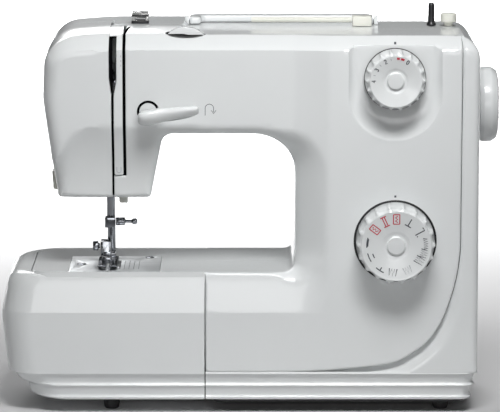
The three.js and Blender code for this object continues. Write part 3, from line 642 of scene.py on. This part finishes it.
def rear_cover():
    """The rear half, with the lifter's slot and the openings for the power inlet and its switch."""
    outline = [(SEAM, BASE_LINE + 1), (RIGHT, BASE_LINE + 1), RIGHT_SHOULDER, (CROWN_START, TOP),
               (CROWN_START - CROWN_RUN, TOP), (DOOR_EDGE + 0.1, TOP), (DOOR_EDGE - 0.1, TOP), *HEAD_SIDE,
               (DOOR_EDGE - 0.1, HEAD_BOTTOM), (DOOR_EDGE + 0.1, HEAD_BOTTOM), *HARP]
    path = rounded(outline, step=2.8)
    left, right, low, high = -108.6, -93.4, 172, 205.6
    lifter_slot = rounded([(left, low), (right, low), (right, high, 3), (left, high, 3)], step=2.5)

    def start(x, z):
        return np.where(x < DOOR_EDGE, FACE_HINGE_Y + 0.35, REAR_HALF)

    def walled(x, z):
        under_head = z < HEAD_BOTTOM + 0.2 and x < -70
        at_table = x < SEAM + 0.01 and z < BED - 0.1
        at_lifter = left - 0.1 < x < right + 0.1 and low - 0.1 < z < high + 0.1
        return not (under_head or at_table or at_lifter)

    inlet = ((RIGHT - 7, 27.5, 64.5), (RIGHT + 5, 52.5, 85.5))
    switch = ((RIGHT - 7, 33.5, 109.5), (RIGHT + 5, 46.5, 130.5))
    skin("rear_cover_shell", path, rear_y, start, "casing", WHITE, ("rear_cover",), holes=(lifter_slot,),
         walled=walled, grid=3.4, openings=(inlet, switch))


# ------------ the base, the table and the free arm
def stacked(loops, closed=False):
    """Vertices and faces of a skin over a stack of outlines, each an array of points with a height."""
    verts, faces = [], []
    size = len(loops[0][0])
    for plan, z in loops:
        verts += [(x, y, z) for x, y in plan]
    for level in range(len(loops) - 1):
        a, b = level * size, (level + 1) * size
        for i in range(size if closed else size - 1):
            j = (i + 1) % size
            faces.append((a + i, a + j, b + j, b + i))
    return verts, faces


def open_plan(end, side, front, rear, radii, turn=6):
    """A plan that is open at x = end and round at its two corners at x = side, front corner first."""
    return rounded([(end, front), (side, front, radii[0]), (side, rear, radii[1]), (end, rear)],
                   closed=False, step=0, turn=turn)


def top_inset(z, top, radius):
    """How far a wall has come in at height z, where it rounds over to a flat top."""
    return radius * float(rolled((z - (top - radius)) / radius))


# Height, inset at the front and sides, below the walls: two coves with a lip under each.
BASE_STEPS = [(BASE_LINE, 0.0), (31.1, 1.2), (29.4, 1.9), (27.4, 2.4), (25.4, 2.8), (24.2, 2.9), (23.4, 2.6),
              (22.9, 1.8), (22.0, 1.3), (20.8, 2.4), (19.0, 3.0), (17.2, 3.4), (15.2, 3.8), (13.9, 3.8),
              (13.1, 3.3), (12.4, 2.5), (10.8, 3.0), (10.8, 8.0)]
LOWER_COVE = 21.0     # below this height the base is a little shorter, and reaches further back
BASE_REAR = 76.0


def base_rim():
    """The coves and lips below the machine's walls, to the right of the table."""
    loops = []
    for z, inset in BASE_STEPS:
        low = z < LOWER_COVE
        right = RIGHT - 0.25 - inset - (1.4 if low else 0)
        rear = (BASE_REAR if low else BASE_REAR - 1.5) - inset * 0.5
        loops.append((open_plan(SEAM, right, FRONT + 0.3 + inset, rear, (9, 9), turn=9), z))
    piece("base_rim", *stacked(loops), "casing", WHITE, wall=1.6, sharp=40)


# The table's left side, seen from the front, and the heights at which its walls are cut.
TABLE_SIDE = [(-187.0, 31.6), (-191.8, 76, 36), (-185.3, TABLE_TOP)]
TABLE_LEVELS = [108.7, 108.6, 108.3, 107.8, 107.0, 106.0, 104.5, 102.5, 100, 97, 93, 88, 84, 80, 79.5, 79.0,
                78.5, 77, 72, 66, 60, 54, 48, 42, 37, 33.5, BASE_LINE]
TABLE_END = SEAM - SEAM_GAP
TABLE_RADII, ARM_RADII = (25.0, 30.0), (14, 20)


def extension_table():
    """The accessory box round the free arm: the well for the arm, the rim, the walls and the base."""
    well = open_plan(TABLE_END, -168.4, -44.95, 62.4, ARM_RADII)
    loops = [(well, 96.0), (well, TABLE_TOP)]
    side = rounded(TABLE_SIDE, closed=False, step=1.5)
    for z in TABLE_LEVELS:
        left = float(np.interp(z, side[:, 1], side[:, 0])) + top_inset(z, TABLE_TOP, 10)
        front = FRONT + float(bed_lean(z)) * 0.93 + top_inset(z, TABLE_TOP, 1.6) * 0.7
        rear = REAR - top_inset(z, TABLE_TOP, 7)
        loops.append((open_plan(TABLE_END, left, front, rear, TABLE_RADII), z))
    # How far left the base reaches at each of the steps below the walls.
    ends = [-183.4, -182.0, -181.0, -180.0, -179.0, -177.4, -175.4, -172.8, -171.6, -171.4, -171.2, -171.0,
            -170.6, -169.8, -168.4, -164.5]
    for (z, inset), left in zip(BASE_STEPS[1:], ends):
        rear = (BASE_REAR if z < LOWER_COVE else BASE_REAR - 2) - inset * 0.5
        loops.append((open_plan(TABLE_END, left, FRONT + inset, rear, TABLE_RADII), z))
    verts, faces = stacked(loops)
    faces.append(tuple(range(len(verts) - len(well), len(verts))))
    piece("table_shell", verts, faces, "table", WHITE, ("extension_table",), wall=2.2, sharp=38)


def free_arm():
    """The narrow arm that the table slides off, with the needle plate's opening in its top."""
    left, front, rear, bottom, edge = -168, -44.6, 62, 47, 8
    # Height, inset, and the share of the inset that the front takes.
    levels = [(bottom + edge * (1 - math.cos(a)), edge * (1 - math.sin(a)), 1.0)
              for a in map(math.radians, range(0, 91, 15))]
    levels += [(108.0, 0, 0.6), (108.7, 0.3, 0.6), (108.97, 0.8, 0.6), (BED, 1.5, 0.6)]
    loops = [(open_plan(SEAM, left + inset, front + inset * share, rear - inset, ARM_RADII), z)
             for z, inset, share in levels]
    verts, faces = stacked(loops)
    top = loops[-1][0]
    faces.append(tuple(range(len(top))))
    hole = rounded([(-139.6, -43.0, 1), (-69.0, -43.0, 1), (-69.0, 25.3, 1), (-139.6, 25.3, 1)], step=4)
    flat, triangles = fill(rounded([tuple(p) for p in top], step=4), (hole,), grid=6, rings=(1.5,))
    first = len(verts)
    verts += [(x, y, BED) for x, y in flat]
    faces += [tuple(first + i for i in t) for t in triangles]
    piece("free_arm_shell", verts, faces, "casing", WHITE, wall=1.8, sharp=40)


# ------------ dials, wheel and levers
FLUTES, FLUTE_DEPTH, FLUTE_SHARE = 18, 1.9, 0.80     # a flute takes this share of its pitch
GRIP_RADIUS = 14.0     # nothing nearer the axis than this is fluted


def flute(start, end):
    """Scallops cut into the grip between two places along the axis."""
    def shape(r, h, a):
        if r < GRIP_RADIUS or not start < h < end:
            return r
        u = ((a * FLUTES / math.tau) % 1) * 2 - 1
        return r - FLUTE_DEPTH * math.sqrt(max(0, 1 - (u / FLUTE_SHARE) ** 2))
    return shape


def dial(node, body, centre, radius, skirt, depth, cap, dish):
    """A fluted grip with a cap and a dark ring behind it. Gives back a function that prints on it."""
    x, z = centre
    face = FRONT - depth
    inner = radius - 4.6
    profile = [(0, face + 1.6), (cap - 0.8, face + 1.5, 0.5), (cap, face + 1.9, 0.3),
               (cap + 0.1, face + 3.0, 0.2), (cap + 1.6, face + 3.0, 0.8), (dish, face + 2.2, 1.0),
               (inner, face + 0.35, 0.6), (inner + 1.4, face + 0.05, 0.6), (radius - 0.5, face + 1.9, 0.9),
               (radius + 0.1, face + 5.0, 0.8), (radius + 0.5, FRONT - 1.3, 0.4),
               (radius + 0.5, FRONT - 0.35, 0.2), (0, FRONT - 0.35)]
    turned(f"{node}_grip", profile, "Y", (x, 0, z), body, WHITE, (f"{node}_dial",), segments=FLUTES * 16,
           shape=flute(face + 1.2, FRONT - 1.9), sharp=30)
    turned(f"{node}_ring", [(radius - 1, FRONT - 0.1), (skirt, FRONT - 0.1, 0.5), (skirt, FRONT + 1.7, 0.3),
                            (radius - 1, FRONT + 1.7), (radius - 1, FRONT - 0.1)],
           "Y", (x, 0, z), body, BLACK, (f"{node}_skirt",))

    def face_y(a, b):
        radii = [dish, inner, inner + 1.4]
        return float(np.interp(math.hypot(a - x, b - z), radii, [face + 2.2, face + 0.35, face + 0.1]))

    def printed(name, strokes, mat, width, lift=0.07):
        ribbon(name, strokes, face_y, body, mat, width, lift)
    return printed


def strip_faces(pairs, first=0):
    """Quads that join each pair of points to the next pair."""
    return [(a, a + 1, a + 3, a + 2) for a in range(first, first + 2 * (pairs - 1), 2)]


def ribbon(name, strokes, surface, body, mat, width=0.8, lift=0.07):
    """Flat printed strokes. Each stroke is a list of (x, z); surface gives y, and lift floats them clear."""
    verts, faces = [], []
    for line in strokes:
        points = [Vector(p) for p in line]
        first = len(verts)
        for i, p in enumerate(points):
            ahead = points[min(i + 1, len(points) - 1)] - points[max(i - 1, 0)]
            side = Vector((-ahead.y, ahead.x)).normalized() * width / 2
            for q in (p + side, p - side):
                verts.append((q.x, surface(q.x, q.y) - lift, q.y))
        faces += strip_faces(len(points), first)
    return piece(name, verts, faces, body, mat, wall=0.05, weld=0)


def around(centre, degrees, radius, u=0.0, v=0.0):
    """A point at a clock angle from the top of a dial, with (u, v) across and outwards from there."""
    a = math.radians(degrees)
    return (centre[0] + (radius + v) * math.sin(a) + u * math.cos(a),
            centre[1] + (radius + v) * math.cos(a) - u * math.sin(a))


def stroke(centre, degrees, radius, points):
    """A stroke at one place on a dial, through points given as (u, v)."""
    return [around(centre, degrees, radius, u, v) for u, v in points]


def zigzag(centre, start, end, radius, height, teeth):
    """A row of teeth along part of a dial."""
    count = teeth * 2
    return [around(centre, start + (end - start) * k / count, radius, 0, height / 2 * (1 if k % 2 else -1))
            for k in range(count + 1)]


def arc(centre, start, end, radius, steps=8):
    return [around(centre, start + (end - start) * k / steps, radius) for k in range(steps + 1)]


def pattern_dial():
    """The lower dial with its generic stitch signs."""
    c = PATTERN_DIAL
    printed = dial("pattern", "pattern_control", c, 29.6, 31.9, 23.4, 7.0, 10.8)
    red, ring = [], 20.6
    for middle, height, half in ((-52, 7.6, 2.2), (0, 7.4, 2.4)):
        rise = [-height / 2 + height * k / 6 for k in range(7)]
        for side in (-1, 1):
            red.append(stroke(c, middle, ring, [(side * half, v) for v in rise]))
            red.append(stroke(c, middle, ring, [(-half, side * height / 2), (half, side * height / 2)]))
        red.append(stroke(c, middle, ring, [(0.9 * (-1) ** k, v) for k, v in enumerate(rise[1:6])]))
    for side in (-1, 1):
        red.append(stroke(c, -25, ring, [(-2.4, side * 3.8), (2.4, side * 3.8)]))
        red.append(stroke(c, -25, ring, [(side * 0.9, v) for v in (-3.8, -1.9, 0, 1.9, 3.8)]))
    printed("pattern_marks_red", red, RED, 0.75)
    dark = [
        stroke(c, 29, 20, [(-2.6, -2.4), (2.6, -2.4)]),
        stroke(c, 29, 20, [(0, -2.4), (0, 3.6)]),
        [*stroke(c, 60, 20.5, [(0, -4), (0, 4)]), around(c, 54, 20.5, 0, 4)],
        arc(c, 64, 67, 17.4, 2),
        zigzag(c, 74, 96, 22.4, 3.0, 5),
        zigzag(c, 96, 114, 21.6, 5.0, 4),
        zigzag(c, 114, 130, 20.8, 7.2, 3),
        zigzag(c, 178, 197, 20.4, 5.4, 3),
        arc(c, 205, 223, 22.4),
        [around(c, 214, 19.6), around(c, 214, 22.0)],
        arc(c, 238, 256, 22.4),
        arc(c, 241, 252, 18.8),
    ]
    printed("pattern_marks_dark", dark, INK, 0.85)
    moon = [arc(c, 267 + k, 287 - k, 22.6 - 0.35 * k) for k in range(4)]
    printed("pattern_crescent", moon, INK, 0.6, lift=0.09)
    printed("pattern_marks_faint", [zigzag(c, 146, 164, 20.4, 5.4, 3)], FAINT, 0.7)


DIGITS = {  # strokes of the generic figures on the dial, in a box one unit wide and two high
    "0": [[(0.5 * math.sin(math.tau * k / 12), math.cos(math.tau * k / 12)) for k in range(13)]],
    "2": [[(-0.5, 0.6), (-0.25, 0.95), (0.25, 0.95), (0.5, 0.55), (0.3, 0.1), (-0.5, -1), (0.55, -1)]],
    "3": [[(-0.5, 0.75), (0, 1), (0.45, 0.65), (0.35, 0.2), (0, 0.05), (0.4, -0.1), (0.5, -0.6), (0, -1),
           (-0.5, -0.75)]],
    "4": [[(0.25, -1), (0.25, 1), (-0.55, -0.4), (0.55, -0.4)]],
}


def length_dial():
    """The upper dial with its figures, ticks and red patch."""
    c = LENGTH_DIAL
    printed = dial("stitch_length", "length_control", c, 22.6, 23.6, 16.0, 6.4, 9.6)
    figures = []
    for text, angle in (("4", 270), ("3", 301), ("2", 332), ("0", 31.5)):
        for line in DIGITS[text]:
            figures.append(stroke(c, angle, 16.9, [(1.5 * u, 1.6 * v) for u, v in line]))
    printed("length_figures", figures, INK, 0.75)
    printed("length_ticks", [[around(c, a, 16.0), around(c, a, 17.8)] for a in (286, 316, 347)], FAINT, 0.5)
    printed("length_patch", [arc(c, 2, 9, 17.4, 4), arc(c, 12, 21, 17.4, 4)], RED, 1.7)


def handwheel():
    """The wheel on the right, with a dished outer face."""
    profile = [(4.35, 168.2), (8.6, 168.2), (8.6, 176.2), (26.0, 176.2, 1.2), (28.4, 177.4, 0.8),
               (29.3, 180.6, 2.5), (29.1, 186.8, 3), (26.4, 191.0, 1.4), (22, 192.3, 2.2),
               (16.5, 191.6, 2), (13.2, 189.9, 1), (0, 189.9)]
    turned("hand_wheel", profile, "X", (0, SHAFT_Y, SHAFT_Z), "drive_shaft", WHITE, ("handwheel",),
           segments=120)


def reverse_lever():
    """A paddle that swings down round its pivot, with a soft ridge between its upper and lower faces."""
    x, z = REVERSE
    path = rounded([(x - 6.8, z - 7.2, 4), (x + 2, z - 7.8, 4), (x + 12, z - 4.8, 8), (x + 31, z - 1.4, 10),
                    (x + 39.4, z + 1.8, 2.2), (x + 39.4, z + 8.2, 2.2), (x + 25, z + 7.0, 16),
                    (x + 8.4, z + 5.4, 6), (x - 6.8, z + 2.6, 3.6)], step=1.6, turn=12)

    def height(a, b):
        reach = np.clip((a - x) / 39.4, 0, 1)
        ridge = (z - 1.5) + 7.6 * reach
        below = np.clip((ridge - b) / 7.0, 0, 1)
        dome = -2.2 * np.exp(-(((a - x) ** 2 + (b - z) ** 2) / 60.0))
        return FRONT - 9.2 - 2.6 * reach + 2.6 * rolled(1 - edge_gap(a, b, path) / 3.2) + 3.2 * below + dome

    def back(a, b):
        return FRONT - 2.0 - 5.5 * np.clip((a - x - 8) / 12, 0, 1)

    skin("reverse_paddle", path, height, back, "reverse_control", WHITE, ("reverse_lever",), wall=0,
         grid=1.6, rings=(0.15, 0.4, 0.8, 1.3, 2.0, 2.8))
    # A near-black arc laid flat on the front round the pivot: painted shade of the opening the paddle comes
    # out of.
    slot = [on_circle(x + 0.8, z + 2.4, 7.6, a) for a in range(22, 200, 8)]
    ribbon("reverse_slot_shade", [slot], lambda a, b: FRONT, "casing", SLOT_SHADE, 1.9, lift=0.06)


def tension_wheel():
    """The knurled wheel that stands out of the arm's top."""
    x, z = TENSION
    teeth = 60

    def knurl(r, h, a):
        on_rim = -31.3 < h < -22.7 and r > 18
        return r - (0.35 * (0.5 + 0.5 * math.cos(teeth * a)) if on_rim else 0)

    profile = [(3.4, -32), (19.4, -32, 0.4), (20, -31.2, 0.4), (20, -22.8, 0.4), (19.4, -22, 0.3),
               (3.4, -22), (3.4, -32)]
    turned("tension_wheel", profile, "Y", (x, 0, z), "tension_control", WHITE, ("tension_dial",),
           segments=240, shape=knurl, sharp=50)


def tension_slot():
    """A near-black lens-shaped sheet on the top round the tension wheel, painted shade of its opening, and
    the wheel's printed ticks.
    """
    # The lens is a flat sheet on the top: painted shade of the opening.
    verts, steps = [], 28
    for k in range(steps + 1):
        turn = math.pi * k / steps
        x = TENSION[0] + 15.5 * math.cos(turn)
        half = 8.2 * math.sin(turn) + 0.05
        for y in (-28.6 - half, -28.6 + half):
            verts.append((x, y, crown(x, y, TOP)[2] + 0.12))
    piece("tension_slot", verts, strip_faces(steps + 1), "casing", SLOT_SHADE, wall=0.1, weld=0)
    for number, angle in enumerate(range(-42, 43, 12)):
        a = math.radians(angle)
        out = Vector((math.sin(a), math.cos(a)))
        across = Vector((math.cos(a), -math.sin(a))) * 0.3
        rim = Vector(TENSION) + out * 20.06
        low, high = rim - across, rim + across
        front, back = -31, (-24.5 if number % 3 == 0 else -28)
        corners = [(low.x, front, low.y), (high.x, front, high.y), (high.x, back, high.y),
                   (low.x, back, low.y)]
        piece(f"tension_tick_{number}", corners, [(0, 1, 2, 3)], "tension_control", INK, wall=0.04, weld=0)


def top_slot_shade():
    """A near-black strip laid over the top of the head: painted shade of the thread slot carried back there.
    """
    # A flat dark strip on the top surface: painted shade of the slot.
    verts, steps = [], 12
    for k in range(steps + 1):
        y = -38.2 + 29 * k / steps
        x = -95.5 + 3.6 * (k / steps) ** 2
        z = crown(x, y, TOP)[2] + 0.1
        verts += [(x - 0.9, y, z), (x + 0.9, y, z)]
    piece("top_slot_shade", verts, strip_faces(steps + 1), "casing", SLOT_SHADE, wall=0.08, weld=0)


def carrying_handle():
    """The fold-down handle on the arm's top, and its two pins."""
    ring = rounded([(-47, 37.4, 2.6), (-38, 37.4, 2.6), (-38, 52, 4), (88, 52, 4), (88, 37.4, 2.6),
                    (97, 37.4, 2.6), (97, 64, 7), (-47, 64, 7)], step=4, turn=10)
    levels = [(291.6, 1.6), (291.75, 0.8), (292.3, 0.15), (293.2, 0), (295.4, 0), (296.3, 0.3), (296.8, 0.9),
              (297, 1.8)]
    verts, faces = stacked([(ring + inward(ring) * inset, z) for z, inset in levels], closed=True)
    size = len(ring)
    faces += [tuple(range(size)), tuple(range(len(verts) - size, len(verts)))]
    piece("folding_handle", verts, faces, "handle", WHITE, ("carrying_handle",), sharp=50)
    for side, x0 in (("left", -49.8), ("right", 97.0)):
        turned(f"handle_pin_{side}", [(0, x0), (1.5, x0), (1.5, x0 + 2.8), (0, x0 + 2.8)], "X",
               (0, 40, 294.3), "handle", CHROME, segments=24)


def top_fittings():
    """What stands on the arm's top: the bobbin winder and its stop, the spool pin's base and the guide."""
    spindle = [(0, 266), (2, 266), (2, 271), (10.6, 271, 0.5), (11, 275.6, 0.4), (2, 276), (2, 291.6),
               (3.5, 291.6, 0.3), (3.7, 292.6, 0.4), (2.7, 294.4, 1.2), (2.55, 300, 0), (2.5, 307.8, 0.3),
               (1.7, 309.4, 0.8), (0, 309.4)]
    turned("bobbin_spindle", spindle, "Z", (141.5, 28, 0), "winder", BLACK, ("winder_spindle",), segments=48)
    stop = [(0, 291.4), (3.4, 291.4), (3.4, 294.1), (6.0, 294.3, 0.4), (6.4, 295.2, 0.6), (6.35, 300.2, 0.5),
            (5.6, 301.2, 0.5), (0, 301.2)]
    turned("winder_stop", stop, "Z", (155, 28, 0), "casing", CREAM, ("bobbin_stopper",), segments=48)
    for node, mat, bevel in (("spool_pin_base", CREAM, 0.8), ("top_thread_guide", CLEAR, 0.5),
                             ("handle_lug_left", WHITE, 0.5), ("handle_lug_right", WHITE, 0.5)):
        refined(node, "casing", mat, bevel)
    for name, z0, z1, depth in (("guide_bar_low", 295.4, 297.3, 0.6), ("guide_bar_high", 300.6, 302.0, 0.5)):
        corners = box_corners((-91.3, 8 - depth, z0), (-77.9, 18 + depth, z1))
        piece(name, corners, BOX_FACES, "casing", BLACK, bevel=0.3)


# ------------ needle, presser foot and plate
def needle_area():
    """The working parts' own shapes with rounded edges, and the guide lines on the needle plate."""
    for body, mat, bevels in (
            ("needle_carrier", CHROME, {"needle_bar": 0.2, "needle_clamp": 0.5, "clamp_screw": 0.25}),
            ("presser", CHROME, {"presser_bar": 0.2, "foot_ankle": 0.45, "foot_screw": 0.3,
                                 "presser_foot": 0.35}),
            ("lifter", CREAM, {"presser_lifter": 0.9}),
            ("casing", PLATE, {"needle_plate": 0.12}),
            ("feed", STEEL, {"feed_dog": 0.1}),
            ("casing", CHROME, {"plate_screw_left": 0.12, "plate_screw_right": 0.12}),
            ("face_door", CREAM, {"thread_cutter": 0.3}),
            ("thread_lever", CHROME, {"take_up_lever": 0.25}),
            ("switch", BLACK, {"power_switch": 0.5}),
            ("casing", BLACK, {"power_inlet": 0.5}),
            ("shuttle", CHROME, {"hook": 0.2}),
            ("casing", CHROME, {"bobbin_case": 0.2})):
        for node, bevel in bevels.items():
            refined(node, body, mat, bevel)
    verts, faces = [], []
    front, rear, top = -30, 5, 109.33
    for x in (-100.6, -96.9, -93.2, -89.5, -85.7):
        first = len(verts)
        verts += [(x - 0.2, front, top), (x + 0.2, front, top), (x + 0.2, rear, top), (x - 0.2, rear, top)]
        faces.append((first, first + 1, first + 2, first + 3))
    piece("plate_guide_lines", verts, faces, "casing", INK, wall=0.03, weld=0)


def other_nodes():
    """CAD nodes that show as they are, with their finishes."""
    shown = {
        BLACK: ("bottom_plate",),
        RUBBER: [f"{foot}_{end}" for foot in ("foot_right", "foot_left", "table_foot")
                 for end in ("front", "rear")],
        BELT: ("motor_belt", "timing_belt"),
        CHROME: ("needle", "bobbin", "tension_discs"),
        STEEL: ("upper_shaft", "lower_shaft", "motor_pulley", "winder_arm"),
        CAST: ("frame_casting", "head_bracket"),
        MOTOR: ("motor",),
        CREAM: ("spool_pin",),
        CLEAR: ("lamp",),
        WHITE: ("hook_door",),
    }
    for mat, names in shown.items():
        for name in names:
            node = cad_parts[name]
            node.data.materials.clear()
            node.data.materials.append(mat)
            for polygon in node.data.polygons:
                polygon.use_smooth = False


def small_marks():
    """Generic marks: the dials' index dots and the return arrow beside the reverse lever."""
    def on_front(x, z):
        return float(front_y(np.array([x]), np.array([z]))[0])

    dots = [(110.3, 286.3), (111.0, 169.6)]
    strokes = [[(x - 0.8, z), (x + 0.8, z)] for x, z in dots]
    ribbon("index_dots", strokes, on_front, "casing", INK, 1.6, lift=0.12)
    cx, cz, r = -30.6, 236.5, 3.2
    bend = [on_circle(cx, cz, r, a) for a in range(160, -1, -20)]
    arrow = [[(cx - r, cz - 5.5), (cx - r, cz), *bend, (cx + r, cz - 3.0)],
             [(cx + 1.4, cz - 1.6), (cx + r, cz - 4.2), (cx + 5.0, cz - 1.6)]]
    hook = [(-101.6, 190.0), (-101.6, 186.4), (-100.6, 185.4), (-99.4, 185.4), (-98.4, 186.4), (-98.4, 190.0)]
    dashes = [[(-97.7, z), (-97.7, z + 1.5)] for z in (268.5, 272.0, 275.5)]
    ribbon("strip_marks", [hook, *dashes], lambda x, z: on_front(x, z) - STRIP_PROUD, "casing", FAINT, 0.4,
           lift=0.1)
    ribbon("return_arrow", arrow, on_front, "casing", INK, 0.45, lift=0.1)


# ------------ studio
def studio():
    """Floor, lights and camera, placed in metres."""
    half = 7.0
    mesh = bpy.data.meshes.new("floor")
    mesh.from_pydata([(-half, -half, 0), (half, -half, 0), (half, half * 2, 0), (-half, half * 2, 0)], [],
                     [(0, 1, 2, 3)])
    mesh.materials.append(FLOOR)
    placed("floor", mesh)

    def softbox(name, place, aim, size, power, tall, spread=180):
        light = bpy.data.lights.new(name, "AREA")
        light.shape = "RECTANGLE"
        light.size = size
        light.size_y = tall
        light.energy = power
        light.spread = math.radians(spread)
        obj = placed(name, light)
        obj.location = place
        obj.rotation_euler = (Vector(aim) - Vector(place)).to_track_quat("-Z", "Y").to_euler()

    softbox("key", (0.10, -0.62, 1.02), (0.0, 0, 0.18), 0.5, 1.7, tall=0.3, spread=70)
    softbox("front", (0, -2.2, 0.52), (0, 0, 0.1), 1.4, 6.2, tall=0.4)
    softbox("overhead", (0, -0.10, 1.3), (0, -0.05, 0.2), 0.9, 0.15, tall=0.4)
    softbox("rear", (-0.5, 1.5, 1.0), (0, 0.05, 0.1), 0.8, 2.2, tall=0.5, spread=100)
    softbox("backdrop", (0, 2.6, 1.7), (0, 2.7, 0), 3.2, 190, tall=3.0, spread=95)
    world = bpy.data.worlds.new("studio")
    world.use_nodes = True
    background = world.node_tree.nodes["Background"]
    background.inputs["Color"].default_value = (0.95, 0.97, 1.0, 1)
    background.inputs["Strength"].default_value = 0.04
    bpy.context.scene.world = world
    bpy.context.scene.view_settings.view_transform = "Standard"

    camera = bpy.data.cameras.new("camera")
    camera.lens = 239.5
    camera.sensor_width = 36
    camera.clip_end = 60
    view = placed("camera", camera)
    view.location = (0.0003, -2.552, 0.5806)
    view.rotation_euler = (math.radians(80.5), 0, 0)
    bpy.context.scene.camera = view


front_cover()
base_cover()
face_plate()
thread_strip()
rear_cover()
base_rim()
extension_table()
free_arm()
pattern_dial()
length_dial()
handwheel()
reverse_lever()
tension_wheel()
tension_slot()
top_slot_shade()
carrying_handle()
top_fittings()
needle_area()
other_nodes()
small_marks()
studio()
